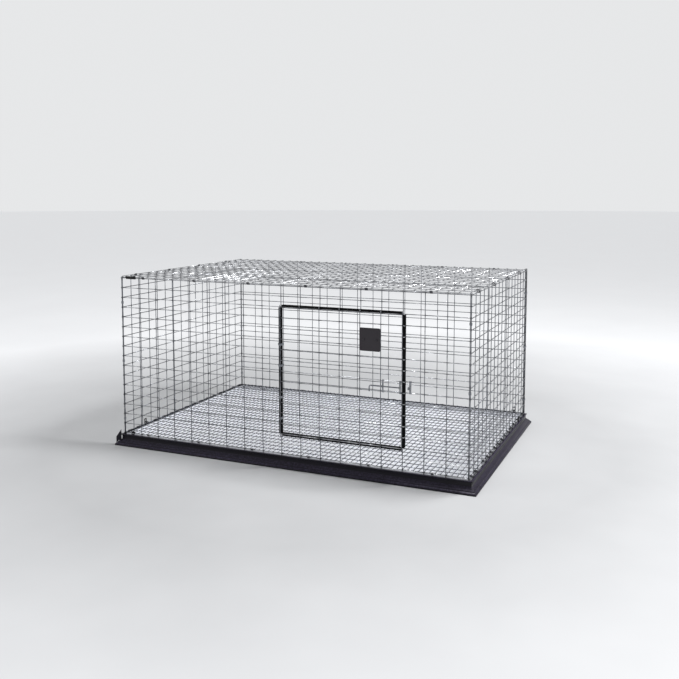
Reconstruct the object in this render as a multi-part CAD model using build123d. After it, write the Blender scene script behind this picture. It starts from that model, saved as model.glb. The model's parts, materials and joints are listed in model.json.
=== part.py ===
"""Welded-wire rabbit hutch on an open black base frame, with a hinged front door and a sliding bolt.

Millimetres. +X is to the right seen from the door, +Y to the back, +Z up.
The origin is on the table, under the middle of the hutch.
"""

from build123d import *
import math
import os

# ---------------------------------------------------------------- driving dimensions
cage_width = 914.4
cage_depth = 609.6
cage_height = 406.4
wire = 2.0
floor_wire = 1.6

row_spacing = 25.4
front_spacing = 50.8
side_spacing = 38.1
floor_row_spacing = 25.4
top_wires_per_front_cell = 2
floor_wires_per_front_cell = 4
wire_end = 0.4

base_height = 28.0
ledge_drop = 14.0
rim_wall = 2.2
crown_reach = 5.0
crown_height = 2.2
crown_slope = 1.0
shoulder_height = 15.5
bead_reach = 11.0
bead_height = 7.0
bead_step = 1.5
lip_reach = 16.0
lip_height = 3.0
lip_wall = 3.5
lip_sag = 1.0
ledge_width = 13.0
base_wall = 2.5
cage_to_rim = 1.0
mitre_gap = 0.2
stub_height = 2.5
tray_wall = 0.8
tray_gap = 0.4
tray_side_gap = 1.0

opening_left_cells = 9
opening_right_cells = 3
opening_low_rows = 2
opening_high_rows = 2

guard_width = 8.0
guard_wall = 1.0
guard_gap = 0.3
door_stub = 6.0
hinge_stub = 2.0
door_standoff = 0.9

clip_band = 0.9
clip_width = 6.0
clip_gap = 0.2
clip_spacing = 150.0
side_floor_clip_spacing = 40.0
hinge_band = 1.0
hinge_width = 5.0
hinge_seat = 0.3
hinge_gap = 0.3
hinge_count = 4

plate_width = 50.0
plate_height = 53.0
plate_thickness = 1.5
plate_drop = 61.0
plate_corner = 3.0
plate_rivet = 3.0
rivet_head = 5.7
rivet_head_height = 0.8
rivet_spacing = 30.0
rivet_clearance = 0.05
backing_length = 42.0
backing_width = 10.0
backing_thickness = 1.0

bolt_diameter = 3.0
bolt_length = 74.0
bolt_throw = 25.0
bolt_handle = 14.0
bolt_overlap = 22.0
bolt_bend = 4.0
guide_clearance = 0.15
keeper_clearance = 0.55
bracket_band = 1.0
bracket_width = 3.5
keeper_width = 5.0
keeper_inset = 2.0

corner_rod = 5.0
corner_clip_length = 28.0
corner_clip_band = 1.4
notch_room = 0.5
tab_width = 8.5
tab_height = 16.0
tab_leg = 2.2
tab_wall = 1.6
tab_inset = 0.3
side_tab_reach = 75.0
tongue_length = 6.5
window_room = 0.6
fin_height = 41.0
fin_thickness = 2.0
fin_gap = 0.4
key_arm = 42.0
key_width = 7.2
key_thickness = 2.5
key_screw_places = (14.7, 33.6)
key_screw = 3.5
key_screw_head = 6.6
key_screw_head_height = 2.0
screw_clearance = 0.05
screw_tip_gap = 0.3

touch = 0.2

# ---------------------------------------------------------------- wires and rows
wire_radius = wire / 2
floor_radius = floor_wire / 2
half_width = cage_width / 2
half_depth = cage_depth / 2

front_cells = round(cage_width / front_spacing)
side_cells = round(cage_depth / side_spacing)
row_cells = round(cage_height / row_spacing)
floor_rows = round(cage_depth / floor_row_spacing)
top_cells = front_cells * top_wires_per_front_cell
floor_cells = front_cells * floor_wires_per_front_cell


def spread(low, high, cells):
    """Evenly spaced places from low to high, ends included."""
    return [low + (high - low) * i / cells for i in range(cells + 1)]


def middles(places):
    """The middle of each cell between neighbouring places."""
    return [(a + b) / 2 for a, b in zip(places, places[1:])]


ledge_top = base_height - ledge_drop
bottom_row = base_height + stub_height
top_row = bottom_row + cage_height
wall_low = ledge_top + touch
wall_high = top_row + wire_radius + wire_end

front_columns = spread(-half_width, half_width, front_cells)
side_columns = spread(-half_depth, half_depth, side_cells)
rows = spread(bottom_row, top_row, row_cells)
top_columns = spread(-half_width, half_width, top_cells)
floor_columns = spread(-half_width, half_width, floor_cells)

# the front and back panels carry their upright wires outside, the side panels their level wires outside
front_uprights = half_depth
front_levels = half_depth - wire
side_uprights = half_width + wire + touch
side_levels = side_uprights + wire
cage_face_x = side_levels + wire_radius
cage_face_y = front_uprights + wire_radius
top_levels = wall_high + touch + wire_radius
top_runners = top_levels + wire
floor_runners = bottom_row + wire_radius + touch / 2 + floor_radius
floor_levels = floor_runners - floor_wire
floor_edge = front_levels - wire_radius - touch - floor_radius


# ---------------------------------------------------------------- shapes
def rod(start, end, diameter):
    """A straight round wire from start to end."""
    start, end = Vector(*start), Vector(*end)
    return Solid.make_cylinder(diameter / 2, (end - start).length, Plane(start, z_dir=end - start))


def block(low, high):
    """A box between two opposite corners."""
    size = [h - l for l, h in zip(low, high)]
    centre = [(l + h) / 2 for l, h in zip(low, high)]
    return Pos(*centre) * Box(*size)


def hoop(rounds, plane, gap, band, width):
    """A flat band bent round several round places, each (u, v, radius) on the plane, centred on it."""

    def outline(grow):
        circles = [Pos(u, v) * Edge.make_circle(radius + grow) for u, v, radius in rounds]
        return make_hull(circles)

    ring = outline(gap + band) - outline(gap)
    return (plane * extrude(ring, width / 2, both=True)).solid()


def save(name, *solids):
    """Writes one sub-part, made of one or more separate solids."""
    found = [solid for shape in solids for solid in shape.solids()]
    export_step(found[0] if len(found) == 1 else Compound(found), f"parts/{name}.step")


def clear_of(places, wires, room):
    """The places that stay at least room from every wire."""
    return [p for p in places if all(abs(p - w) >= room for w in wires)]


def spaced(places, spacing):
    """Every so many of the places, so that neighbours stand about one spacing apart."""
    step = max(1, round(spacing * (len(places) - 1) / max(places[-1] - places[0], 1)))
    first = (len(places) - 1) % step // 2
    return places[first::step]


os.makedirs("parts", exist_ok=True)

# ---------------------------------------------------------------- base frame
rim_x = cage_face_x + cage_to_rim
rim_y = cage_face_y + cage_to_rim
foot_x = rim_x + lip_reach
foot_y = rim_y + lip_reach
bead_top = bead_height + bead_step
lip_middle = (bead_reach + lip_reach) / 2
skirt_slope = (shoulder_height - bead_top) / (bead_reach - rim_wall)


def rail_section():
    """The moulding's section: x outwards from the rim's inner face, y up from the table."""
    drop = base_wall * math.hypot(1, skirt_slope)
    inside = bead_reach - base_wall
    inside_high = bead_top + base_wall * skirt_slope - drop
    under_ledge = ledge_top - base_wall
    outline = [
        (-ledge_width, 0),
        (-ledge_width, ledge_top),
        (0, ledge_top),
        (0, base_height),
        (crown_reach, base_height),
        (crown_reach, base_height - crown_height),
        (rim_wall, base_height - crown_height - crown_slope),
        (rim_wall, shoulder_height),
        (bead_reach, bead_top),
        (bead_reach, bead_height),
        (lip_middle, bead_height - lip_sag),
        (lip_reach, lip_height),
        (lip_reach, 0),
        (lip_reach - lip_wall, 0),
        (inside, bead_height - base_wall),
        (inside, inside_high),
        (inside - (under_ledge - inside_high) / skirt_slope, under_ledge),
        (base_wall - ledge_width, under_ledge),
        (base_wall - ledge_width, 0),
    ]
    return make_face(Polyline(*outline, close=True))


def rail(half_length, rim, turn):
    """One mitred rail of the base, along X at the front, then turned to its own side."""
    section = Plane((0, -rim, 0), x_dir=(0, -1, 0), z_dir=(-1, 0, 0)) * rail_section()
    long = extrude(section, half_length, both=True)
    depth = lip_reach + ledge_width + 1
    front = -rim - lip_reach
    reach = half_length - mitre_gap * math.sqrt(2) / 2
    inner, back = reach - depth, front + depth
    plan = Polyline((-reach, front), (reach, front), (inner, back), (-inner, back), close=True)
    cutter = extrude(make_face(plan), base_height + 1)
    return Rot(0, 0, turn) * (long & cutter)


key_under = ledge_top - base_wall - touch
key_inset = ledge_width - base_wall - touch


def corner_key():
    """An L-shaped plate under the ledge of two rails, for the front right corner."""
    x0, y0 = rim_x - key_inset, -rim_y + key_inset
    low, high = key_under - key_thickness, key_under
    along_front = block((x0 - key_arm, y0 - key_width, low), (x0 + key_width, y0, high))
    along_side = block((x0, y0 - key_width, low), (x0 + key_width, y0 + key_arm, high))
    return along_front + along_side


def key_screws():
    """The middle of each screw through the front right corner key."""
    x0, y0 = rim_x - key_inset, -rim_y + key_inset
    middle = key_width / 2
    on_front = [(x0 - reach, y0 - middle) for reach in key_screw_places]
    on_side = [(x0 + middle, y0 + reach) for reach in key_screw_places]
    return on_front + on_side


def at_corners(shape):
    """The shape at the front right corner, and its mirror images at the other three."""
    right = [shape, mirror(shape, Plane.XZ)]
    return right + [mirror(s, Plane.YZ) for s in right]


def screw_shank(x, y, grow):
    """A screw's shank from below the key into the ledge, or the hole for it when grown."""
    length = key_thickness + touch + base_wall - screw_tip_gap
    return Pos(x, y, key_under - key_thickness) * extrude(Circle(key_screw / 2 + grow), length)


def screw(x, y):
    """A flat-headed screw, driven from below."""
    head = Pos(x, y, key_under - key_thickness - key_screw_head_height) * Circle(key_screw_head / 2)
    return screw_shank(x, y, 0) + extrude(head, key_screw_head_height)


screw_holes = [s for x, y in key_screws() for s in at_corners(screw_shank(x, y, screw_clearance))]
screws = [s for x, y in key_screws() for s in at_corners(screw(x, y))]

rails = {
    "base_rail_front": rail(foot_x, rim_y, 0),
    "base_rail_right": rail(foot_y, rim_x, 90),
    "base_rail_back": rail(foot_x, rim_y, 180),
    "base_rail_left": rail(foot_y, rim_x, 270),
}
for name, shape in rails.items():
    save(name, shape - screw_holes)
save("base_corner_keys", *[key - screw_holes for key in at_corners(corner_key())])
save("base_corner_screws", *screws)

# ---------------------------------------------------------------- droppings tray
tray_x = side_uprights - wire_radius - tray_side_gap
tray_y = front_levels - wire_radius - tray_gap
tray_top = bottom_row - wire_radius - clip_gap - clip_band - tray_gap
tray = block((-tray_x, -tray_y, ledge_top), (tray_x, tray_y, tray_top))
tray_hollow = block((tray_wall - tray_x, tray_wall - tray_y, ledge_top + tray_wall),
                    (tray_x - tray_wall, tray_y - tray_wall, base_height))
save("droppings_tray", tray - tray_hollow)

# ---------------------------------------------------------------- wall panels
opening_left = front_columns[front_cells - opening_left_cells]
opening_right = front_columns[front_cells - opening_right_cells]
opening_low = rows[opening_low_rows]
opening_high = rows[row_cells - opening_high_rows]
level_end = half_width + wire_radius + touch / 2


def standing(x, y, low, high):
    """An upright wire."""
    return rod((x, y, low), (x, y, high), wire)


def across(y, z, low, high, diameter=wire):
    """A wire along X."""
    return rod((low, y, z), (high, y, z), diameter)


def deep(x, z, reach, diameter=wire):
    """A wire along Y, as long on each side of the middle."""
    return rod((x, -reach, z), (x, reach, z), diameter)


def front_wires():
    """The front panel: upright and level wires, cut away at the door opening."""
    made = []
    for x in front_columns:
        spans = [(wall_low, wall_high)]
        if opening_left < x < opening_right:
            spans = [(wall_low, opening_low + wire_radius), (opening_high - wire_radius, wall_high)]
        made += [standing(x, -front_uprights, low, high) for low, high in spans]
    for z in rows:
        spans = [(-level_end, level_end)]
        if opening_low < z < opening_high:
            spans = [(-level_end, opening_left + wire_radius), (opening_right - wire_radius, level_end)]
        made += [across(-front_levels, z, low, high) for low, high in spans]
    return made


def back_wires():
    """The back panel, whole."""
    uprights = [standing(x, front_uprights, wall_low, wall_high) for x in front_columns]
    levels = [across(front_levels, z, -level_end, level_end) for z in rows]
    return uprights + levels


def side_wires(side):
    """A side panel: side is 1 on the right and -1 on the left."""
    uprights = [standing(side * side_uprights, y, wall_low, wall_high) for y in side_columns]
    levels = [deep(side * side_levels, z, half_depth + wire_radius) for z in rows]
    return uprights + levels


def top_wires():
    """The top panel: level wires across the width, and runners from front to back on them."""
    levels = [across(y, top_levels, -cage_face_x, cage_face_x) for y in side_columns]
    runners = [deep(x, top_runners, half_depth + wire_radius + wire_end) for x in top_columns]
    return levels + runners


floor_level_places = [-floor_edge] + spread(-half_depth, half_depth, floor_rows)[1:-1] + [floor_edge]


def floor_wires():
    """The fine floor mesh: runners from front to back, on level wires across the width."""
    reach_x = side_uprights - wire_radius - 2 * touch
    reach_y = front_uprights - wire_radius - touch
    runners = [deep(x, floor_runners, reach_y, floor_wire) for x in floor_columns]
    levels = [across(y, floor_levels, -reach_x, reach_x, floor_wire) for y in floor_level_places]
    return runners + levels


save("front_panel", *front_wires())
save("back_panel", *back_wires())
save("right_side_panel", *side_wires(1))
save("left_side_panel", *side_wires(-1))
save("top_panel", *top_wires())
save("floor_panel", *floor_wires())

# ---------------------------------------------------------------- clips that join the panels
clip_room = clip_width / 2 + wire_radius + touch


def facing_x(x):
    """The plane at x whose own axes run along Y and Z."""
    return Plane((x, 0, 0), x_dir=(0, 1, 0), z_dir=(1, 0, 0))


def lengthwise(rounds, x):
    """A clip round two wires that run along X; rounds are (y, z, radius)."""
    return hoop(rounds, facing_x(x), clip_gap, clip_band, clip_width)


def sidewise(rounds, y):
    """A clip round two wires that run along Y; rounds are (x, z, radius)."""
    facing_y = Plane((0, y, 0), x_dir=(1, 0, 0), z_dir=(0, -1, 0))
    return hoop(rounds, facing_y, clip_gap, clip_band, clip_width)


def upright(rounds, z):
    """A clip round wires that stand up; rounds are (x, y, radius)."""
    return hoop(rounds, Plane((0, 0, z)), clip_gap, clip_band, clip_width)


front_places = spaced(clear_of(middles(top_columns), front_columns, clip_room), clip_spacing)
side_places = spaced(middles(side_columns), clip_spacing)
floor_front_places = spaced(clear_of(middles(floor_columns), front_columns, clip_room), clip_spacing)
floor_side_cells = clear_of(middles(side_columns), floor_level_places, clip_room - touch)
tab_room = (tab_width + clip_width) / 2 + touch
side_tab = max(y for y in middles(side_columns) if y <= half_depth - side_tab_reach)
floor_side_cells = clear_of(floor_side_cells, [side_tab, -side_tab], tab_room)
floor_side_places = spaced(floor_side_cells, side_floor_clip_spacing)
corner_places = spaced(middles(rows), clip_spacing)

corner_clip_middle = (top_columns[0] + top_columns[2]) / 2
corner_clip_room = (corner_clip_length + clip_width) / 2 + touch
top_front_places = clear_of(front_places, [corner_clip_middle], corner_clip_room)

top_clips, floor_clips, corner_clips = [], [], []
for side in (-1, 1):
    places = top_front_places if side < 0 else front_places
    seam = [(side * front_levels, top_row, wire_radius), (side * half_depth, top_levels, wire_radius)]
    top_clips += [lengthwise(seam, x) for x in places]
    seam = [(side * side_levels, top_row, wire_radius), (side * half_width, top_runners, wire_radius)]
    top_clips += [sidewise(seam, y) for y in side_places]
    seam = [(side * front_levels, bottom_row, wire_radius), (side * floor_edge, floor_levels, floor_radius)]
    floor_clips += [lengthwise(seam, x) for x in floor_front_places]
    seam = [(side * side_levels, bottom_row, wire_radius), (side * half_width, floor_runners, floor_radius)]
    floor_clips += [sidewise(seam, y) for y in floor_side_places]

rod_x = side_uprights
rod_y = front_uprights + wire_radius + 1.5 * touch + corner_rod / 2
for side_x in (-1, 1):
    for side_y in (-1, 1):
        seam = [(side_x * half_width, side_y * half_depth, wire_radius),
                (side_x * side_uprights, side_y * half_depth, wire_radius)]
        if side_x > 0 and side_y > 0:
            seam.append((rod_x, rod_y, corner_rod / 2))
        corner_clips += [upright(seam, z) for z in corner_places]

save("top_clips", *top_clips)
save("floor_clips", *floor_clips)
save("corner_clips", *corner_clips)
rod_foot = (rod_x, rod_y, base_height + touch)
rod_head = (rod_x, rod_y, top_runners + wire_radius)
save("rear_corner_rod", rod(rod_foot, rod_head, corner_rod))

# a black clip over the front top seam, near the left corner, notched for the runner that crosses it
seam = [(-front_levels, top_row, wire_radius), (-half_depth, top_levels, wire_radius)]
corner_clip = hoop(seam, facing_x(corner_clip_middle), clip_gap, corner_clip_band, corner_clip_length)
notch_reach = wire_radius + notch_room
notch_low = top_levels + wire_radius / 2
notch = block((corner_clip_middle - notch_reach, -half_depth - corner_clip_length, notch_low),
              (corner_clip_middle + notch_reach, -front_levels + corner_clip_length, top_runners + wire))
save("top_corner_clip", corner_clip - notch)

# ---------------------------------------------------------------- black tabs that hold the cage on the base
tab_low = base_height + touch
tab_top = tab_low + tab_height
tongue_low = floor_runners + floor_radius + 2 * touch
tongue_top = tongue_low + tab_wall


def tab(place, rim, turn):
    """A tab that stands on the rim, with a tongue that reaches in over the bottom wires."""
    left, right = place - tab_width / 2, place + tab_width / 2
    back = -rim - tab_inset
    front = back - tab_wall
    plate = block((left, front, tab_low), (right, back, tab_top))
    tongue = block((left, front, tongue_low), (right, tongue_length - rim, tongue_top))
    left, right = left + tab_leg, right - tab_leg
    lower = block((left, front - 1, tab_low + tab_leg), (right, back + 1, tongue_low - window_room))
    upper = block((left, front - 1, tongue_top + window_room), (right, back + 1, tab_top - tab_leg))
    return Rot(0, 0, turn) * (plate + tongue - lower - upper)


# one tab on each rail, arranged so that the cage and its base match after half a turn
front_tab = clear_of(middles(front_columns), floor_front_places, tab_room)[0]
tabs = [tab(front_tab, rim_y, turn) for turn in (0, 180)]
tabs += [tab(side_tab, rim_x, turn) for turn in (90, 270)]
save("hold_down_tabs", *tabs)

# a black blade that rises from the skirt's front left corner to the cage
fin_set = bead_reach - fin_thickness
fin_foot = shoulder_height - (fin_set - fin_thickness - rim_wall) * skirt_slope + fin_gap
fin_outline = [
    (fin_gap, fin_foot),
    (fin_set, fin_foot),
    (bead_reach + fin_gap, bead_top + fin_gap),
    (lip_middle + fin_gap, bead_height),
    (lip_reach, lip_height + lip_sag + fin_gap),
    (lip_reach, fin_height / 2),
    (fin_gap, fin_height),
]
fin = make_face(Polyline(*[(-rim_x - out, z) for out, z in fin_outline], close=True))
fin_plane = Plane((0, -rim_y - fin_set, 0), x_dir=(1, 0, 0), z_dir=(0, -1, 0))
save("base_corner_fin", extrude(fin_plane * fin, -fin_thickness))

# ---------------------------------------------------------------- vinyl guards round the opening
guard_reach = wire_radius + guard_gap
web_out = guard_reach + guard_wall
guard_front = -front_uprights - guard_reach - guard_wall
guard_back = -front_levels + guard_reach + guard_wall
slot_front = guard_front + guard_wall
slot_back = guard_back - guard_wall
guard_run = (opening_left + web_out + touch, opening_right - web_out - touch)


def side_guard(edge, inwards):
    """A guard on an upright edge of the opening: inwards is 1 at the left edge and -1 at the right."""
    foot, head = opening_low + guard_reach, opening_high - guard_reach
    low, high = sorted([edge + inwards * (web_out - guard_width), edge + inwards * web_out])
    body = block((low, guard_front, foot), (high, guard_back, head))
    low, high = sorted([edge - inwards * guard_width, edge + inwards * guard_reach])
    slot = block((low, slot_front, opening_low), (high, slot_back, opening_high))
    return body - slot


save("opening_guard_left", side_guard(opening_left, 1))
save("opening_guard_right", side_guard(opening_right, -1))

top_guard = block((guard_run[0], guard_front, opening_high - web_out),
                  (guard_run[1], guard_back, opening_high - web_out + guard_width))
top_slot = block((opening_left, slot_front, opening_high - guard_reach),
                 (opening_right, slot_back, opening_high + guard_width))
save("opening_guard_top", top_guard - top_slot)

bottom_guard = block((guard_run[0], guard_front, opening_low + web_out - guard_width),
                     (guard_run[1], guard_back, opening_low + web_out))
bottom_slot = block((opening_left, slot_front, opening_low - guard_width),
                    (opening_right, slot_back, opening_low + guard_reach))
save("opening_guard_bottom", bottom_guard - bottom_slot)

# ---------------------------------------------------------------- door
door_levels = guard_front - door_standoff - wire_radius
door_uprights = door_levels - wire
door_columns = [x for x in front_columns if opening_left <= x <= opening_right]
door_rows = [z for z in rows if opening_low <= z <= opening_high]


def door_wires():
    """The door: upright wires on level wires, lapped over the edges of the opening."""
    low, high = opening_low - door_stub, opening_high + door_stub
    uprights = [standing(x, door_uprights, low, high) for x in door_columns]
    left, right = opening_left - hinge_stub, opening_right + door_stub
    levels = [across(door_levels, z, left, right) for z in door_rows]
    return uprights + levels


save("door_panel", *door_wires())

# hinge bands round the door's first upright and the guarded edge of the opening
corner_x = (opening_left + web_out - guard_width + hinge_seat, opening_left + web_out - hinge_seat)
corner_y = (guard_front + hinge_seat, guard_back - hinge_seat)
hinge_rounds = [(x, y, hinge_seat) for x in corner_x for y in corner_y]
hinge_rounds.append((opening_left, door_uprights, wire_radius))
hinge_cells = middles(door_rows)
hinge_step = (len(hinge_cells) - 1) / (hinge_count + 1)
hinge_places = [hinge_cells[round(hinge_step * (i + 0.5))] for i in range(hinge_count)]
hinge_planes = [Plane((0, 0, z)) for z in hinge_places]
save("hinge_bands", *[hoop(hinge_rounds, p, hinge_gap, hinge_band, hinge_width) for p in hinge_planes])

# ---------------------------------------------------------------- blank name plate
plate_x = (door_columns[-2] + door_columns[-3]) / 2
plate_z = opening_high - plate_drop
plate_back = door_uprights - wire_radius - touch
plate_front = plate_back - plate_thickness
backing_front = door_levels + wire_radius + touch
backing_back = backing_front + backing_thickness
rivet_columns = [plate_x - rivet_spacing / 2, plate_x + rivet_spacing / 2]


def through_plate(x, diameter, y_front, y_back):
    """A round along Y, level with the middle of the plate."""
    return rod((x, y_front, plate_z), (x, y_back, plate_z), diameter)


def slab(width, height, y_front, y_back):
    """A slab centred on the plate."""
    low = (plate_x - width / 2, y_front, plate_z - height / 2)
    return block(low, (plate_x + width / 2, y_back, plate_z + height / 2))


def rivet(x):
    """A rivet through the plate and its backing, with a head at each end."""
    shank = through_plate(x, plate_rivet, plate_front, backing_back)
    front_head = through_plate(x, rivet_head, plate_front - rivet_head_height, plate_front)
    back_head = through_plate(x, rivet_head, backing_back, backing_back + rivet_head_height)
    return shank + front_head + back_head


plate = slab(plate_width, plate_height, plate_front, plate_back)
plate = fillet(plate.edges().filter_by(Axis.Y), plate_corner)
backing = slab(backing_length, backing_width, backing_front, backing_back)
hole_diameter = plate_rivet + 2 * rivet_clearance
holes = [through_plate(x, hole_diameter, plate_front - 1, backing_back + 1) for x in rivet_columns]
save("name_plate", plate - holes)
save("name_plate_backing", backing - holes)
save("name_plate_rivets", *[rivet(x) for x in rivet_columns])

# ---------------------------------------------------------------- sliding bolt
bolt_y = door_uprights - wire_radius - 2 * touch - bolt_diameter / 2
bolt_cell = len(door_rows) // 2 - 1
bolt_z = (door_rows[bolt_cell] + door_rows[bolt_cell + 1]) / 2
shot_tip = opening_right + bolt_overlap
shot_start = shot_tip - bolt_length
bolt_tip = shot_tip - bolt_throw
bolt_start = shot_start - bolt_throw

bolt_corner = (bolt_start, bolt_y, bolt_z)
handle_end = (bolt_start, bolt_y, bolt_z - bolt_handle)
bolt_path = FilletPolyline(handle_end, bolt_corner, (bolt_tip, bolt_y, bolt_z), radius=bolt_bend)
bolt_section = Plane(bolt_path @ 0, z_dir=bolt_path % 0) * Circle(bolt_diameter / 2)
save("latch_bolt", sweep(bolt_section, bolt_path))


def bracket(x, width, clearance, row_y):
    """A flat band bowed over the bolt, with its two ends bent round a level wire above and below it."""
    seat_radius = bolt_diameter / 2 + clearance
    eye = seat_radius + bracket_band
    face = row_y - wire_radius - clip_gap
    left, right = x - width / 2, x + width / 2
    plane = facing_x(x)
    strap = block((left, face - bracket_band, low_row), (right, face, high_row))
    bow = plane * extrude(Pos(bolt_y, bolt_z) * Circle(eye), width / 2, both=True)
    bridge = block((left, bolt_y, bolt_z - eye), (right, face, bolt_z + eye))
    bore = plane * extrude(Pos(bolt_y, bolt_z) * Circle(seat_radius), width, both=True)
    ends = [(row_y, z, wire_radius) for z in (low_row, high_row)]
    hooks = [hoop([end], plane, clip_gap, bracket_band, width) for end in ends]
    mouth_low = (left - 1, row_y + 2 * touch, low_row + touch)
    mouth = block(mouth_low, (right + 1, row_y + bolt_diameter * 2, high_row - touch))
    return strap + bow + bridge + hooks[0] + hooks[1] - bore - mouth


low_row, high_row = door_rows[bolt_cell], door_rows[bolt_cell + 1]
guide_places = [opening_right - wire_radius - bracket_width, shot_start + bolt_diameter + bracket_width]
guides = [bracket(x, bracket_width, guide_clearance, door_levels) for x in guide_places]
save("latch_guides", *guides)
keeper_x = shot_tip - keeper_inset - keeper_width / 2
save("latch_keeper", bracket(keeper_x, keeper_width, keeper_clearance, -front_levels))
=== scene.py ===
# %% [markdown]
# # A welded-wire rabbit hutch
#
# The hutch is a box of galvanised mesh on a black moulded base. The CAD model gives every size and place,
# and here each part gets the surface of the real one: welded crossings, zinc, rounded edges and dust.
# We load the CAD model as a fixed frame and keep its outer box.

# %% Load the frame
import json
import math
import random

import bmesh
import bpy
from mathutils import Matrix, Vector

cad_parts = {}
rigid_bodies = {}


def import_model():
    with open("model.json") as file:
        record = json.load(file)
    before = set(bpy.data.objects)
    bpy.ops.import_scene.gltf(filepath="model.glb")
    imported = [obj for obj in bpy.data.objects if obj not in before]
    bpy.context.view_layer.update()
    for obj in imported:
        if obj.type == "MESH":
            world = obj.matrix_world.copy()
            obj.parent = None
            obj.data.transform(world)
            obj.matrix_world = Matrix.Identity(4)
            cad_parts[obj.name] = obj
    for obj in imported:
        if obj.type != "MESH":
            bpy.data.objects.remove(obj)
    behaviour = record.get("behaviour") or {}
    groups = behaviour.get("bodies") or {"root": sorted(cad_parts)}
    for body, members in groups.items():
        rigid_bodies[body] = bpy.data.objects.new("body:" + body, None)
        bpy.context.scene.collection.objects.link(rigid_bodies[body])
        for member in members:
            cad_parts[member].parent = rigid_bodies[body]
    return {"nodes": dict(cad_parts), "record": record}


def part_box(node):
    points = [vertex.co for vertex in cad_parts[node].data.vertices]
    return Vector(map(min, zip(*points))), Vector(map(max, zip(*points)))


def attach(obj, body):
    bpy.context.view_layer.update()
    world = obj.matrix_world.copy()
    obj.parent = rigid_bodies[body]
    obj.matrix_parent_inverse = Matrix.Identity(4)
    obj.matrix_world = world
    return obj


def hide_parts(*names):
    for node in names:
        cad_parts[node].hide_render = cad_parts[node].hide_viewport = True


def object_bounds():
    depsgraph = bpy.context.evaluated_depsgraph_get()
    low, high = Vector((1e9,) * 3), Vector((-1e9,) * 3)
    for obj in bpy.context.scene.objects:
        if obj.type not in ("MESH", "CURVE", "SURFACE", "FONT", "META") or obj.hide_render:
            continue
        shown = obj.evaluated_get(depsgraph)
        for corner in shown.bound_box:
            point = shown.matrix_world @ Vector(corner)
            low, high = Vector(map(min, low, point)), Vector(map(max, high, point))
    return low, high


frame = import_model()
cad_low, cad_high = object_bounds()
MM = 0.001
MERGE = 1e-6
body_of_node = {n: b for b, nodes in frame["record"]["behaviour"]["bodies"].items() for n in nodes}
print("CAD box in metres:", [round(h - l, 4) for l, h in zip(cad_low, cad_high)])

# %% [markdown]
# ## Node groups
#
# Zinc, plastic and paint all vary a little over their surface. Each kind of variation is a node group,
# built once, with its strengths as inputs. Then every material can use the same effect with its own values.
# A group gives out only colours and values, and the shader stays in the material.


# %% Helpers that make a group and the nodes inside it
def new_group(name, inputs, outputs):
    """A node group. inputs are (name, kind, default) and outputs are (name, kind)."""
    tree = bpy.data.node_groups.new(name, "ShaderNodeTree")
    for label, kind, default in inputs:
        tree.interface.new_socket(name=label, in_out="INPUT", socket_type=kind).default_value = default
    for label, kind in outputs:
        tree.interface.new_socket(name=label, in_out="OUTPUT", socket_type=kind)
    return tree, tree.nodes.new("NodeGroupInput"), tree.nodes.new("NodeGroupOutput")


def noise(tree, vector, scale, detail=4.0, roughness=0.55):
    """A noise texture fed by a vector socket. scale may be a number or a socket."""
    node = tree.nodes.new("ShaderNodeTexNoise")
    tree.links.new(vector, node.inputs["Vector"])
    if isinstance(scale, (int, float)):
        node.inputs["Scale"].default_value = scale
    else:
        tree.links.new(scale, node.inputs["Scale"])
    node.inputs["Detail"].default_value = detail
    node.inputs["Roughness"].default_value = roughness
    return node.outputs["Fac"]


def math_node(tree, operation, a, b=None, clamp=False):
    """One Math node. a and b may be numbers or sockets."""
    node = tree.nodes.new("ShaderNodeMath")
    node.operation = operation
    node.use_clamp = clamp
    for i, value in enumerate([a] if b is None else [a, b]):
        if isinstance(value, (int, float)):
            node.inputs[i].default_value = value
        else:
            tree.links.new(value, node.inputs[i])
    return node.outputs[0]


def mix_colour(tree, factor, a, b):
    """Mixes two colours. Each may be a socket or four numbers."""
    node = tree.nodes.new("ShaderNodeMix")
    node.data_type = "RGBA"
    tree.links.new(factor, node.inputs["Factor"])
    for label, value in (("A", a), ("B", b)):
        socket = next(s for s in node.inputs if s.name == label and s.type == "RGBA")
        if isinstance(value, (tuple, list)):
            socket.default_value = value
        else:
            tree.links.new(value, socket)
    return next(s for s in node.outputs if s.type == "RGBA")


def map_range(tree, value, low, high, to_low, to_high):
    """Moves a value from one range to another, clamped. Every end may be a number or a socket."""
    node = tree.nodes.new("ShaderNodeMapRange")
    tree.links.new(value, node.inputs["Value"])
    for label, end in (("From Min", low), ("From Max", high), ("To Min", to_low), ("To Max", to_high)):
        if isinstance(end, (int, float)):
            node.inputs[label].default_value = end
        else:
            tree.links.new(end, node.inputs[label])
    return node.outputs["Result"]


# %% [markdown]
# Hot-dip zinc freezes in soft patches, called spangle, some lighter than others. Where the mesh was welded,
# the heat leaves the zinc duller and darker. The tube meshes carry two attributes that steer this group.
# `weld` is 1 at a crossing and 0 between crossings, and blends towards the burnt tone. The second attribute
# is 1 on the wires that lie level and 0 on the uprights, and it paints light into the colour: the level
# wires of the front and door catch more light, so there the two tones move one step up, from dull and
# bright to bright and a painted lit tone.

# %% Zinc spangle
SPANGLE_SCALE = 55.0
ZINC_GRIT_SCALE = 900.0

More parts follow.
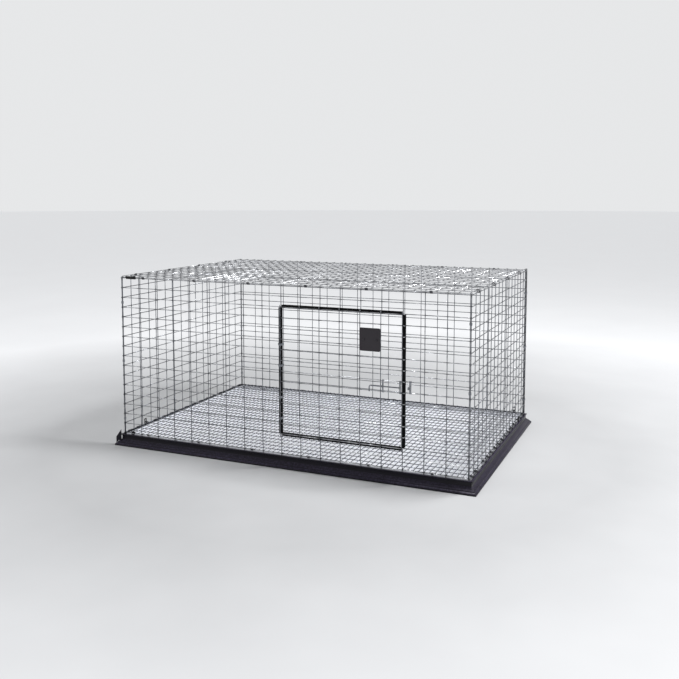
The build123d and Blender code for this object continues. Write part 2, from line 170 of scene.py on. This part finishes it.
spangle, spangle_in, spangle_out = new_group(
    "zinc spangle",
    [("Vector", "NodeSocketVector", (0, 0, 0)),
     ("Weld", "NodeSocketFloat", 0.0),
     ("Painted_lit", "NodeSocketFloat", 0.0),
     ("New", "NodeSocketColor", (0.7, 0.71, 0.73, 1)),
     ("Bright", "NodeSocketColor", (0.6, 0.61, 0.63, 1)),
     ("Dull", "NodeSocketColor", (0.4, 0.41, 0.43, 1)),
     ("Burnt", "NodeSocketColor", (0.2, 0.2, 0.21, 1)),
     ("Roughness", "NodeSocketFloat", 0.4)],
    [("Color", "NodeSocketColor"), ("Roughness", "NodeSocketFloat"), ("Height", "NodeSocketFloat")],
)
patches = noise(spangle, spangle_in.outputs["Vector"], SPANGLE_SCALE, 3.0)
fine = noise(spangle, spangle_in.outputs["Vector"], ZINC_GRIT_SCALE, 2.0)
patch_share = map_range(spangle, patches, 0.38, 0.62, 0.0, 1.0)
zinc = mix_colour(spangle, patch_share, spangle_in.outputs["Dull"], spangle_in.outputs["Bright"])
# On level wires the tones move one step lighter: painted light for the light they catch.
zinc = mix_colour(spangle, spangle_in.outputs["Painted_lit"], zinc,
                  mix_colour(spangle, patch_share, spangle_in.outputs["Bright"], spangle_in.outputs["New"]))
ragged = math_node(spangle, "ADD", spangle_in.outputs["Weld"], math_node(spangle, "SUBTRACT", fine, 0.75))
heat = map_range(spangle, ragged, 0.25, 0.85, 0.0, 0.8)
zinc = mix_colour(spangle, heat, zinc, spangle_in.outputs["Burnt"])
spangle.links.new(zinc, spangle_out.inputs["Color"])
smoother = map_range(spangle, patches, 0.3, 0.7, 0.1, -0.08)
rough = math_node(spangle, "ADD", spangle_in.outputs["Roughness"], smoother)
rough = math_node(spangle, "ADD", rough, math_node(spangle, "MULTIPLY", heat, 0.2), clamp=True)
spangle.links.new(rough, spangle_out.inputs["Roughness"])
spangle.links.new(math_node(spangle, "ADD", fine, math_node(spangle, "MULTIPLY", patches, 0.6)),
                  spangle_out.inputs["Height"])
print("made group", spangle.name)

# %% [markdown]
# The base is injection moulded. Its surface has a fine even grain, a faint cloudiness from the way the
# plastic flowed, and a film on everything that faces up: some pale dust, and a violet painted light that
# lightens its upward faces. The film needs no extra texture: the surface normal's Z says how much a place
# faces up.

# %% Moulded grain, dust and painted light
CLOUD_SCALE = 9.0
SPECK_SCALE = 260.0

grain, grain_in, grain_out = new_group(
    "moulded grain with dust and painted light",
    [("Vector", "NodeSocketVector", (0, 0, 0)),
     ("Base", "NodeSocketColor", (0.03, 0.03, 0.04, 1)),
     ("Cloud", "NodeSocketColor", (0.05, 0.05, 0.06, 1)),
     ("Painted light and dust", "NodeSocketColor", (0.3, 0.29, 0.28, 1)),
     ("Painted light and dust amount", "NodeSocketFloat", 0.3),
     ("Grain scale", "NodeSocketFloat", 1400.0),
     ("Roughness", "NodeSocketFloat", 0.45)],
    [("Color", "NodeSocketColor"), ("Roughness", "NodeSocketFloat"), ("Height", "NodeSocketFloat")],
)
cloud = noise(grain, grain_in.outputs["Vector"], CLOUD_SCALE, 5.0)
pores = noise(grain, grain_in.outputs["Vector"], grain_in.outputs["Grain scale"], 2.0)
specks = noise(grain, grain_in.outputs["Vector"], SPECK_SCALE, 6.0, 0.7)
facing = grain.nodes.new("ShaderNodeNewGeometry")
up = grain.nodes.new("ShaderNodeSeparateXYZ")
grain.links.new(facing.outputs["Normal"], up.inputs[0])
# Faces that turn up get a film: dust, and with the base's violet tone painted light.
faces_up = map_range(grain, up.outputs["Z"], 0.2, 1.0, 0.0, 1.0)
up_facing_light_and_dust = math_node(grain, "MULTIPLY", faces_up, map_range(grain, specks, 0.42, 0.68, 0.15, 1.0))
light_and_dust_share = math_node(grain, "MULTIPLY", up_facing_light_and_dust, grain_in.outputs["Painted light and dust amount"], clamp=True)
tone = mix_colour(grain, map_range(grain, cloud, 0.35, 0.65, 0.0, 1.0), grain_in.outputs["Base"],
                  grain_in.outputs["Cloud"])
tone = mix_colour(grain, light_and_dust_share, tone, grain_in.outputs["Painted light and dust"])
grain.links.new(tone, grain_out.inputs["Color"])
matt = math_node(grain, "ADD", grain_in.outputs["Roughness"], math_node(grain, "MULTIPLY", light_and_dust_share, 0.4))
matt = math_node(grain, "ADD", matt, map_range(grain, cloud, 0.3, 0.7, -0.05, 0.06), clamp=True)
grain.links.new(matt, grain_out.inputs["Roughness"])
grain.links.new(pores, grain_out.inputs["Height"])
print("made group", grain.name)

# %% [markdown]
# ## Materials
#
# Every material reads Object coordinates, so its pattern stays fixed to the piece at any pose. The zinc
# ones differ only in their tones and roughness, and the black ones only in grain, cloudiness, dust and
# painted light.


# %% Helpers that build a zinc and a coated material
METAL_SHARE = 0.85
ZINC_BUMP = 0.25
ZINC_RELIEF = 0.08 * MM
COAT_RELIEF = 0.1 * MM
PAINTED_LIT_ZINC = (0.66, 0.67, 0.69)


def start_material(name):
    """A material with its shader and its Object coordinates."""
    made = bpy.data.materials.new(name)
    made.use_nodes = True
    tree = made.node_tree
    place = tree.nodes.new("ShaderNodeTexCoord")
    return made, tree, tree.nodes["Principled BSDF"], place.outputs["Object"]


def use_group(tree, group, shader, vector, values, bump, distance):
    """Places a group in a material, sets its values, and feeds the shader from it."""
    node = tree.nodes.new("ShaderNodeGroup")
    node.node_tree = group
    tree.links.new(vector, node.inputs["Vector"])
    for label, value in values.items():
        node.inputs[label].default_value = value
    tree.links.new(node.outputs["Color"], shader.inputs["Base Color"])
    tree.links.new(node.outputs["Roughness"], shader.inputs["Roughness"])
    relief = tree.nodes.new("ShaderNodeBump")
    relief.inputs["Strength"].default_value = bump
    relief.inputs["Distance"].default_value = distance
    tree.links.new(node.outputs["Height"], relief.inputs["Height"])
    tree.links.new(relief.outputs["Normal"], shader.inputs["Normal"])
    return node


def zinc_material(name, bright, dull, burnt, roughness, marks=()):
    """Zinc with tones of its own beside the shared painted lit tone. marks are the mesh attributes that
    steer it.
    """
    made, tree, shader, place = start_material(name)
    shader.inputs["Metallic"].default_value = METAL_SHARE
    values = {"New": (*PAINTED_LIT_ZINC, 1), "Bright": (*bright, 1), "Dull": (*dull, 1), "Burnt": (*burnt, 1),
              "Roughness": roughness}
    node = use_group(tree, spangle, shader, place, values, ZINC_BUMP, ZINC_RELIEF)
    for mark in marks:
        marked = tree.nodes.new("ShaderNodeAttribute")
        marked.attribute_name = mark
        tree.links.new(marked.outputs["Fac"], node.inputs[mark.capitalize()])
    return made


def coated_material(name, base, cloud_tone, painted_light_and_dust_amount, grain_scale, roughness, bump,
                    coat=0.0, specular=0.5, painted_light_and_dust_tone=(0.3, 0.29, 0.28)):
    """Plastic, vinyl or paint: two tones in soft clouds, and a film where it faces up: dust, and with the
    base's violet tone painted light.
    """
    made, tree, shader, place = start_material(name)
    shader.inputs["Specular IOR Level"].default_value = specular
    shader.inputs["Coat Weight"].default_value = coat
    values = {"Base": (*base, 1), "Cloud": (*cloud_tone, 1), "Painted light and dust": (*painted_light_and_dust_tone, 1),
              "Painted light and dust amount": painted_light_and_dust_amount, "Grain scale": grain_scale, "Roughness": roughness}
    use_group(tree, grain, shader, place, values, bump, COAT_RELIEF)
    return made


# %% [markdown]
# The front and door use both attributes, and the other panels only `weld`. The top is the lightest, its
# tones a painted reflection of the light above, and the floor is the darkest, its tones a painted shade
# that sets it off from the tray under it. The black parts are three finishes: moulded plastic, soft vinyl
# and a baked coating. The film on
# the base is painted light more than dust: a violet tone on the faces that turn up, which lightens the
# sloping skirt as light from above would and leaves the upright faces black.

# %% Build the materials
# The front and door zinc also reads the level-wire mark, which paints light onto the level wires.
front_zinc_painted_light = zinc_material("front wire zinc with painted light", bright=(0.34, 0.35, 0.37), dull=(0.17, 0.18, 0.20),
                           burnt=(0.05, 0.05, 0.06), roughness=0.30, marks=("weld", "painted_lit"))
wall_zinc = zinc_material("wall wire zinc", bright=(0.34, 0.35, 0.37), dull=(0.18, 0.19, 0.21),
                          burnt=(0.05, 0.05, 0.06), roughness=0.30, marks=("weld",))
# The top's lighter tones are a painted reflection of the light above.
top_zinc_painted_reflection = zinc_material("top wire zinc with painted reflection", bright=(0.72, 0.73, 0.75), dull=(0.50, 0.51, 0.53),
                         burnt=(0.16, 0.16, 0.17), roughness=0.26, marks=("weld",))
# The floor's darker tones are a painted shade.
floor_zinc_painted_shade = zinc_material("floor wire zinc with painted shade", bright=(0.15, 0.16, 0.19), dull=(0.06, 0.07, 0.09),
                           burnt=(0.02, 0.02, 0.03), roughness=0.28, marks=("weld",))
clip_zinc = zinc_material("clip zinc", bright=(0.32, 0.33, 0.35), dull=(0.18, 0.19, 0.21),
                          burnt=(0.10, 0.10, 0.11), roughness=0.36)
seam_clip_zinc = zinc_material("seam clip zinc", bright=(0.10, 0.10, 0.11), dull=(0.05, 0.05, 0.06),
                               burnt=(0.03, 0.03, 0.04), roughness=0.42)
# The base's violet film tone is painted light on its upward faces, with some dust.
base_plastic_painted_light = coated_material("base plastic with painted light", base=(0.004, 0.003, 0.007), cloud_tone=(0.007, 0.006, 0.012),
                               painted_light_and_dust_amount=0.24, grain_scale=1500.0, roughness=0.32, bump=0.25,
                               specular=0.22, painted_light_and_dust_tone=(0.24, 0.20, 0.34))
guard_vinyl = coated_material("guard vinyl", base=(0.001, 0.001, 0.0015), cloud_tone=(0.003, 0.003, 0.004),
                              painted_light_and_dust_amount=0.02, grain_scale=900.0, roughness=0.50, bump=0.20,
                              specular=0.12)
black_coat = coated_material("black coating", base=(0.003, 0.003, 0.004), cloud_tone=(0.006, 0.006, 0.007),
                             painted_light_and_dust_amount=0.04, grain_scale=600.0, roughness=0.40, bump=0.30,
                             specular=0.2)
plate_enamel = coated_material("plate enamel", base=(0.018, 0.015, 0.020), cloud_tone=(0.030, 0.025, 0.031),
                               painted_light_and_dust_amount=0.06, grain_scale=700.0, roughness=0.42, bump=0.15,
                               specular=0.35)
tray_enamel = coated_material("tray enamel", base=(0.88, 0.89, 0.94), cloud_tone=(0.82, 0.84, 0.89),
                              painted_light_and_dust_amount=0.10, grain_scale=500.0, roughness=0.38, bump=0.12,
                              coat=0.2)
print("made", len(bpy.data.materials), "materials")

# %% [markdown]
# ## Welded mesh
#
# Real cage mesh is drawn wire, cut to length and spot welded at every crossing. The weld presses each pair
# of wires a little into each other and squeezes out a small bead. Between welds the wire is never perfectly
# straight. The CAD wires are ideal cylinders, so we first read where each one runs from the CAD mesh. A
# curve with a round profile could draw them too, but it couldn't mark the welds for the material.


# %% Read the straight wires of a CAD node
def loose_shells(mesh):
    """The corners of each separate solid in a CAD mesh, as (lowest, highest) pairs."""
    copy = bmesh.new()
    copy.from_mesh(mesh)
    bmesh.ops.remove_doubles(copy, verts=copy.verts[:], dist=MERGE)
    left, found = set(copy.verts), []
    while left:
        stack = [left.pop()]
        members = []
        while stack:
            vert = stack.pop()
            members.append(vert.co)
            for edge in vert.link_edges:
                other = edge.other_vert(vert)
                if other in left:
                    left.discard(other)
                    stack.append(other)
        low = Vector([min(c[i] for c in members) for i in range(3)])
        high = Vector([max(c[i] for c in members) for i in range(3)])
        found.append((low, high))
    copy.free()
    return sorted(found, key=lambda pair: tuple(round(v, 6) for v in (*pair[0], *pair[1])))


def wires_of(node):
    """Each wire of a panel as (axis it runs along, start, end, radius)."""
    wires = []
    for low, high in loose_shells(frame["nodes"][node].data):
        size = high - low
        run = max(range(3), key=lambda i: size[i])
        start, end = (low + high) / 2, (low + high) / 2
        start[run], end[run] = low[run], high[run]
        wires.append((run, start, end, min(size) / 2))
    return wires


# %% [markdown]
# A wire grows ring by ring: one ring at each crossing, sunk towards the wire it is welded to, and one
# between crossings, moved aside by about a tenth of a millimetre. Both ends are cut and slightly chamfered,
# as a shear leaves them. Extruding the end cap keeps the tube closed the whole way.


# %% Grow one wire
SINK = 0.12
WOBBLE = 0.12 * MM
CHAMFER = 0.45
TIP_SHARE = 0.55


def grow_wire(run, start, end, radius, stops, towards, sides, rng):
    """A wire from start to end, with its crossings as stops, pressed the way of towards at each."""
    stretch = bmesh.new()
    weld = stretch.verts.layers.float.new("weld")
    painted_lit = stretch.verts.layers.float.new("painted_lit")
    quarter = math.pi / 2
    turn = {0: Matrix.Rotation(quarter, 4, "Y"), 1: Matrix.Rotation(quarter, 4, "X"), 2: Matrix()}[run]
    places = [(start[run], TIP_SHARE, 0.0, 0.0), (start[run] + radius * CHAMFER, 1.0, 0.0, 0.0)]
    inner = [s for s in stops if start[run] + radius < s < end[run] - radius]
    for i, stop in enumerate(inner):
        if i:
            places.append(((inner[i - 1] + stop) / 2, 1.0, 0.0, 1.0))
        places.append((stop, 1.0, 1.0, 0.0))
    places += [(end[run] - radius * CHAMFER, 1.0, 0.0, 0.0), (end[run], TIP_SHARE, 0.0, 0.0)]
    face = None
    for place, share, welded, loose in places:
        centre = start.copy()
        centre[run] = place
        centre += towards * radius * SINK * welded
        for i in range(3):
            if i != run:
                centre[i] += rng.uniform(-WOBBLE, WOBBLE) * loose
        if face is None:
            spot = Matrix.Translation(centre) @ turn
            made = bmesh.ops.create_circle(stretch, cap_ends=True, segments=sides,
                                           radius=radius * share, matrix=spot)
            ring, face = made["verts"], next(iter(stretch.faces))
        else:
            made = bmesh.ops.extrude_face_region(stretch, geom=[face])["geom"]
            ring = [g for g in made if isinstance(g, bmesh.types.BMVert)]
            face = next(g for g in made if isinstance(g, bmesh.types.BMFace))
            middle = sum((v.co for v in ring), Vector()) / len(ring)
            bmesh.ops.translate(stretch, verts=ring, vec=centre - middle)
            bmesh.ops.scale(stretch, verts=ring, vec=Vector((share / before,) * 3),
                            space=Matrix.Translation(-centre))
        before = share
        for vert in ring:
            vert[weld] = welded
            # Level wires get 1 here, which paints light onto them in the front and door zinc.
            vert[painted_lit] = 0.0 if run == 2 else 1.0
    bmesh.ops.recalc_face_normals(stretch, faces=stretch.faces[:])
    for side in stretch.faces:
        side.smooth = len(side.verts) == 4
    return stretch


# %% [markdown]
# A weld bead is a small squeezed-out blob. There are thousands of them, so one is an icosphere of only
# twenty faces, smooth shaded. The same mesh is copied to each crossing with a turn and a size of its own.


# %% The weld bead
BEAD_WIDTH = (1.15, 1.4)
BEAD_THICKNESS = 0.85


def bead_mesh():
    """One weld bead of unit size."""
    bead = bmesh.new()
    weld = bead.verts.layers.float.new("weld")
    bead.verts.layers.float.new("painted_lit")
    bmesh.ops.create_icosphere(bead, subdivisions=1, radius=1.0)
    for vert in bead.verts:
        vert[weld] = 1.0
    for side in bead.faces:
        side.smooth = True
    mesh = bpy.data.meshes.new("weld bead")
    bead.to_mesh(mesh)
    bead.free()
    return mesh


# %% [markdown]
# A panel is two layers of wire, one across the other. The layer a wire lies in says which way it sinks, and
# the places of the other layer's wires say where its crossings are. The random draws are seeded with the
# name of the panel, so the mesh comes out the same each time.


# %% Weave a whole panel
def weave(name, node, material, sides):
    """A welded panel in place of a CAD node."""
    rng = random.Random(node)
    wires = wires_of(node)
    runs = sorted({w[0] for w in wires})
    families = {r: [w for w in wires if w[0] == r] for r in runs}
    flat = ({0, 1, 2} - set(runs)).pop()
    level = {r: sum(w[1][flat] for w in families[r]) / len(families[r]) for r in runs}
    panel = bmesh.new()
    panel.verts.layers.float.new("weld")
    panel.verts.layers.float.new("painted_lit")
    passing = bpy.data.meshes.new("passing wire")
    crossings = []
    for run in runs:
        other = runs[1 - runs.index(run)]
        towards = Vector((0, 0, 0))
        towards[flat] = 1.0 if level[other] > level[run] else -1.0
        for _, start, end, radius in families[run]:
            stops = set()
            for _, from_, to, _ in families[other]:
                if from_[other] - radius <= start[other] <= to[other] + radius:
                    if start[run] - radius <= from_[run] <= end[run] + radius:
                        stops.add(round(from_[run], 6))
                        if run == runs[0]:
                            spot = Vector((0, 0, 0))
                            spot[run] = from_[run]
                            spot[other] = start[other]
                            spot[flat] = (level[run] + level[other]) / 2
                            crossings.append((spot, radius))
            tube = grow_wire(run, start, end, radius, sorted(stops), towards, sides, rng)
            tube.to_mesh(passing)
            tube.free()
            panel.from_mesh(passing)
    bpy.data.meshes.remove(passing)
    bead = bead_mesh()
    for spot, radius in crossings:
        turn = Matrix.Rotation(rng.uniform(0, math.pi), 4, "XYZ"[flat])
        size = Vector([radius * rng.uniform(*BEAD_WIDTH) * (BEAD_THICKNESS if i == flat else 1.0)
                       for i in range(3)])
        spread = Matrix.Translation(spot) @ Matrix.Diagonal(size).to_4x4() @ turn
        bead.transform(spread)
        panel.from_mesh(bead)
        bead.transform(spread.inverted())
    bpy.data.meshes.remove(bead)
    return place_piece(name, panel, material, node), len(wires), len(crossings)


def place_piece(name, shape, material, *nodes):
    """Makes the object of a finished bmesh. It rides with the nodes that it stands for."""
    mesh = bpy.data.meshes.new(name)
    shape.to_mesh(mesh)
    shape.free()
    mesh.materials.append(material)
    piece = bpy.data.objects.new(name, mesh)
    bpy.context.scene.collection.objects.link(piece)
    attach(piece, body_of_node[nodes[0]])
    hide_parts(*nodes)
    return piece


# %% [markdown]
# The wires of six panels are eight-sided, which is round enough at this thickness. The floor has the most
# wires and the thinnest, so six sides are enough there.

# %% Make the seven panels
PANELS = {
    "front_mesh": ("front_panel", front_zinc_painted_light, 8),
    "back_mesh": ("back_panel", wall_zinc, 8),
    "left_mesh": ("left_side_panel", wall_zinc, 8),
    "right_mesh": ("right_side_panel", wall_zinc, 8),
    "top_mesh": ("top_panel", top_zinc_painted_reflection, 8),
    "door_mesh": ("door_panel", front_zinc_painted_light, 8),
    "floor_mesh": ("floor_panel", floor_zinc_painted_shade, 6),
}
for piece_name, (node, material, sides) in PANELS.items():
    piece, wire_count, weld_count = weave(piece_name, node, material, sides)
    print(piece_name, wire_count, "wires", weld_count, "welds", len(piece.data.polygons), "faces")

# %% [markdown]
# ## Rounded mouldings and bands
#
# No moulded, pressed or extruded edge is razor sharp, and the small round along it is what catches the
# light. The CAD solids have the right shape with sharp edges. We copy the mesh, weld its loose triangles,
# dissolve the flat ones back into whole faces, and bevel only the edges that really turn.


# %% Soften the edges of a CAD node
FLAT_ANGLE = math.radians(1.0)
SHADING_ANGLE = math.radians(32.0)


def softened(name, node, material, offset, turn=35.0, shortest=1.2):
    """A copy of a CAD node with its edges rounded by offset millimetres.

    Only edges that turn by more than turn degrees and are longer than shortest millimetres are rounded.
    """
    shape = bmesh.new()
    shape.from_mesh(frame["nodes"][node].data)
    bmesh.ops.remove_doubles(shape, verts=shape.verts[:], dist=MERGE)
    bmesh.ops.dissolve_limit(shape, angle_limit=FLAT_ANGLE, verts=shape.verts[:], edges=shape.edges[:])
    sharp = [e for e in shape.edges if len(e.link_faces) == 2 and e.calc_length() > shortest * MM
             and e.calc_face_angle() > math.radians(turn)]
    bmesh.ops.bevel(shape, geom=sharp, offset=offset * MM, offset_type="OFFSET", segments=2,
                    profile=0.5, affect="EDGES", clamp_overlap=True, material=-1)
    for side in shape.faces:
        side.smooth = True
    piece = place_piece(name, shape, material, node)
    piece.data.set_sharp_from_angle(angle=SHADING_ANGLE)
    return piece


# %% [markdown]
# The larger the moulding, the larger its rounds: half a millimetre on the base rails, down to a seventh of
# a millimetre on the small clips of drawn wire. Only the name of the piece, its node, its finish and its
# round in millimetres differ, so they make one list.

# %% Round the rails, guards, clips and bands
SOFT_PARTS = [
    ("front_rail", "base_rail_front", base_plastic_painted_light, 0.5),
    ("back_rail", "base_rail_back", base_plastic_painted_light, 0.5),
    ("left_rail", "base_rail_left", base_plastic_painted_light, 0.5),
    ("right_rail", "base_rail_right", base_plastic_painted_light, 0.5),
    ("corner_key_plates", "base_corner_keys", base_plastic_painted_light, 0.4),
    ("corner_fin", "base_corner_fin", base_plastic_painted_light, 0.25),
    ("rim_tabs", "hold_down_tabs", black_coat, 0.25),
    ("catch_tray", "droppings_tray", tray_enamel, 0.25),
    ("guard_left", "opening_guard_left", guard_vinyl, 0.35),
    ("guard_right", "opening_guard_right", guard_vinyl, 0.35),
    ("guard_top", "opening_guard_top", guard_vinyl, 0.35),
    ("guard_bottom", "opening_guard_bottom", guard_vinyl, 0.35),
    ("top_seam_clips", "top_clips", seam_clip_zinc, 0.15),
    ("floor_seam_clips", "floor_clips", seam_clip_zinc, 0.15),
    ("corner_seam_clips", "corner_clips", clip_zinc, 0.15),
    ("front_corner_clip", "top_corner_clip", black_coat, 0.3),
    ("door_hinge_bands", "hinge_bands", clip_zinc, 0.2),
    ("bolt_guides", "latch_guides", clip_zinc, 0.2),
    ("bolt_keeper", "latch_keeper", clip_zinc, 0.2),
    ("plate_backing", "name_plate_backing", clip_zinc, 0.2),
]
for piece_name, node, material, offset in SOFT_PARTS:
    piece = softened(piece_name, node, material, offset)
    print(piece_name, len(piece.data.polygons), "faces")

# %% [markdown]
# ## Name plate
#
# The plate is a pressed sheet with a raised border and a plain field. It starts as a block with rounded
# corners. Two insets on its front face make the border: one for its outside, and one pushed back for the
# sunken field. A last small bevel rounds every rim, as on pressed sheet.

# %% Blank plate
PLATE_CORNER = 3.0 * MM
BORDER_WIDTH = 1.8 * MM
FIELD_SLOPE = 0.6 * MM
FIELD_DEPTH = 0.45 * MM
RIM_ROUND = 0.15 * MM
RIM_ANGLE = math.radians(25)

plate_low, plate_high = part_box("name_plate")
plate_shape = bmesh.new()
plate_size = plate_high - plate_low
plate_mid = (plate_low + plate_high) / 2
bmesh.ops.create_cube(plate_shape, size=1.0,
                      matrix=Matrix.Translation(plate_mid) @ Matrix.Diagonal(plate_size).to_4x4())
uprights = [e for e in plate_shape.edges if abs((e.verts[0].co - e.verts[1].co).normalized().y) > 0.9]
bmesh.ops.bevel(plate_shape, geom=uprights, offset=PLATE_CORNER, segments=5, profile=0.5, affect="EDGES",
                material=-1)
front_face = min(plate_shape.faces, key=lambda f: f.calc_center_median().y)
bmesh.ops.inset_region(plate_shape, faces=[front_face], thickness=BORDER_WIDTH, depth=0.0)
bmesh.ops.inset_region(plate_shape, faces=[front_face], thickness=FIELD_SLOPE, depth=-FIELD_DEPTH)
rims = [e for e in plate_shape.edges if len(e.link_faces) == 2 and e.calc_face_angle() > RIM_ANGLE]
bmesh.ops.bevel(plate_shape, geom=rims, offset=RIM_ROUND, segments=2, profile=0.5, affect="EDGES",
                clamp_overlap=True, material=-1)
for side in plate_shape.faces:
    side.smooth = True
plate = place_piece("blank_plate", plate_shape, plate_enamel, "name_plate")
plate.data.set_sharp_from_angle(angle=SHADING_ANGLE)
print("plate", len(plate.data.polygons), "faces")

# %% [markdown]
# The rivets, the bolt, the rear rod and the screws are round. Only the rims of their ends and heads are
# sharp, and those turn by a right angle, so a larger turn leaves the round sides alone. The rims are made
# of short edges, so no edge is too short to be rounded.

# %% Rivets, bolt, rod and screws
END_ROUND = 0.3
END_TURN = 50.0
ROUND_PARTS = [
    ("plate_rivets", "name_plate_rivets", plate_enamel),
    ("sliding_bolt", "latch_bolt", clip_zinc),
    ("rear_rod", "rear_corner_rod", black_coat),
    ("key_screws", "base_corner_screws", clip_zinc),
]
for piece_name, node, material in ROUND_PARTS:
    piece = softened(piece_name, node, material, END_ROUND, turn=END_TURN, shortest=0.0)
    print(piece_name, len(piece.data.polygons), "faces")

# %% [markdown]
# ## Studio
#
# The hutch stands on a plain pale floor. Near the hutch the floor is only lit, so it takes a soft shadow.
# From 0.75 m to 1.8 m from the middle it begins to glow a little, so that it runs into the surround with
# hardly a horizon.

# %% Floor
FLOOR_RADIUS = 30.0
FLOOR_DROP = 0.2 * MM
FLOOR_TONES = ((0.45, 0.455, 0.465, 1), (0.49, 0.495, 0.505, 1))
FLOOR_NEAR = 0.75
FLOOR_FAR = 1.8
FLOOR_GLOW = 0.53
floor_shape = bmesh.new()
bmesh.ops.create_circle(floor_shape, cap_ends=True, segments=96, radius=FLOOR_RADIUS)
floor_mesh = bpy.data.meshes.new("studio floor")
floor_shape.to_mesh(floor_mesh)
floor_shape.free()
studio_floor = bpy.data.objects.new("studio_floor", floor_mesh)
bpy.context.scene.collection.objects.link(studio_floor)
studio_floor.location.z = cad_low[2] - FLOOR_DROP
floor_material, floor_tree, floor_shader, floor_place = start_material("studio floor")
tone_noise = noise(floor_tree, floor_place, 3.0, 3.0)
floor_tone = mix_colour(floor_tree, map_range(floor_tree, tone_noise, 0.3, 0.7, 0.0, 1.0), *FLOOR_TONES)
floor_tree.links.new(floor_tone, floor_shader.inputs["Base Color"])
floor_shader.inputs["Roughness"].default_value = 0.6
spread_out = floor_tree.nodes.new("ShaderNodeVectorMath")
spread_out.operation = "LENGTH"
floor_tree.links.new(floor_place, spread_out.inputs[0])
glow = map_range(floor_tree, spread_out.outputs["Value"], FLOOR_NEAR, FLOOR_FAR, 0.0, FLOOR_GLOW)
floor_tree.links.new(glow, floor_shader.inputs["Emission Strength"])
floor_shader.inputs["Emission Color"].default_value = (0.97, 0.98, 1.0, 1)
floor_mesh.materials.append(floor_material)
print("floor at", round(studio_floor.location.z, 4), "m")

# %% [markdown]
# The surround does two jobs. Seen by the camera it is a pale wall. As a light it is weaker, so that the
# black parts stay black and the wires keep some contrast. Light Path tells the two kinds of ray apart.

# %% Surround
SURROUND_LIGHT = 0.42
SURROUND_SEEN = 0.82
world = bpy.data.worlds.new("studio surround")
bpy.context.scene.world = world
world.use_nodes = True
surround = world.node_tree.nodes["Background"]
surround.inputs["Color"].default_value = (0.93, 0.94, 0.95, 1)
surround.inputs["Strength"].default_value = SURROUND_LIGHT
backdrop = world.node_tree.nodes.new("ShaderNodeBackground")
backdrop.inputs["Color"].default_value = (0.97, 0.98, 0.99, 1)
backdrop.inputs["Strength"].default_value = SURROUND_SEEN
seen = world.node_tree.nodes.new("ShaderNodeLightPath")
either = world.node_tree.nodes.new("ShaderNodeMixShader")
world.node_tree.links.new(seen.outputs["Is Camera Ray"], either.inputs[0])
world.node_tree.links.new(surround.outputs[0], either.inputs[1])
world.node_tree.links.new(backdrop.outputs[0], either.inputs[2])
world.node_tree.links.new(either.outputs[0], world.node_tree.nodes["World Output"].inputs["Surface"])
print("surround lights at", SURROUND_LIGHT, "and is seen at", SURROUND_SEEN)

# %% [markdown]
# The key light hangs over the hutch, a little to the right and behind, so that the top and the floor mesh
# are bright and the front stays in soft shade. It is fairly small, which gives the wires a clear glint. A
# weak, wide fill light from the front left opens up the shade.


# %% Lights
def soft_light(name, place, target, size, power):
    """A square area light aimed at a point."""
    lamp = bpy.data.lights.new(name, "AREA")
    lamp.shape = "SQUARE"
    lamp.size = size
    lamp.energy = power
    holder = bpy.data.objects.new(name, lamp)
    bpy.context.scene.collection.objects.link(holder)
    aim = (Vector(target) - Vector(place)).to_track_quat("-Z", "Y")
    holder.matrix_world = Matrix.Translation(place) @ aim.to_matrix().to_4x4()
    print(name, "at", place, "m,", power, "W")


HUTCH_MIDDLE = (0, 0, 0.2)
soft_light("key light", (1.1, 0.2, 2.6), HUTCH_MIDDLE, 0.6, 90.0)
soft_light("fill light", (-2.2, -2.6, 2.0), HUTCH_MIDDLE, 1.8, 22.0)
bpy.context.scene.view_settings.view_transform = "Standard"

# %% [markdown]
# ## Camera
#
# The camera stands to the right of the door and a little above the hutch, looking slightly down. A small
# shift of the lens moves the hutch up in the frame and keeps its uprights nearly parallel.

# %% Camera
FOCAL_LENGTH = 44.60
LENS_SHIFT = -0.1072
CAMERA_PLACE = (0.9047, -2.0633, 0.6541)
LOOKS_DOWN = math.radians(5.0)
LOOKS_LEFT = math.radians(23.21)
lens = bpy.data.cameras.new("camera")
lens.lens = FOCAL_LENGTH
lens.sensor_width = 36.0
lens.shift_y = LENS_SHIFT
lens.clip_end = 100.0
camera = bpy.data.objects.new("camera", lens)
bpy.context.scene.collection.objects.link(camera)
camera.location = CAMERA_PLACE
camera.rotation_euler = (math.pi / 2 - LOOKS_DOWN, 0.0, LOOKS_LEFT)
bpy.context.scene.camera = camera
print("camera at", CAMERA_PLACE, "m")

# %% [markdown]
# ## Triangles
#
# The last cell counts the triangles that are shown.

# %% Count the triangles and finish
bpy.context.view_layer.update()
triangles = sum(len(p.vertices) - 2 for o in bpy.data.objects if o.type == "MESH" and not o.hide_render
                for p in o.data.polygons)
print("triangles shown:", triangles)
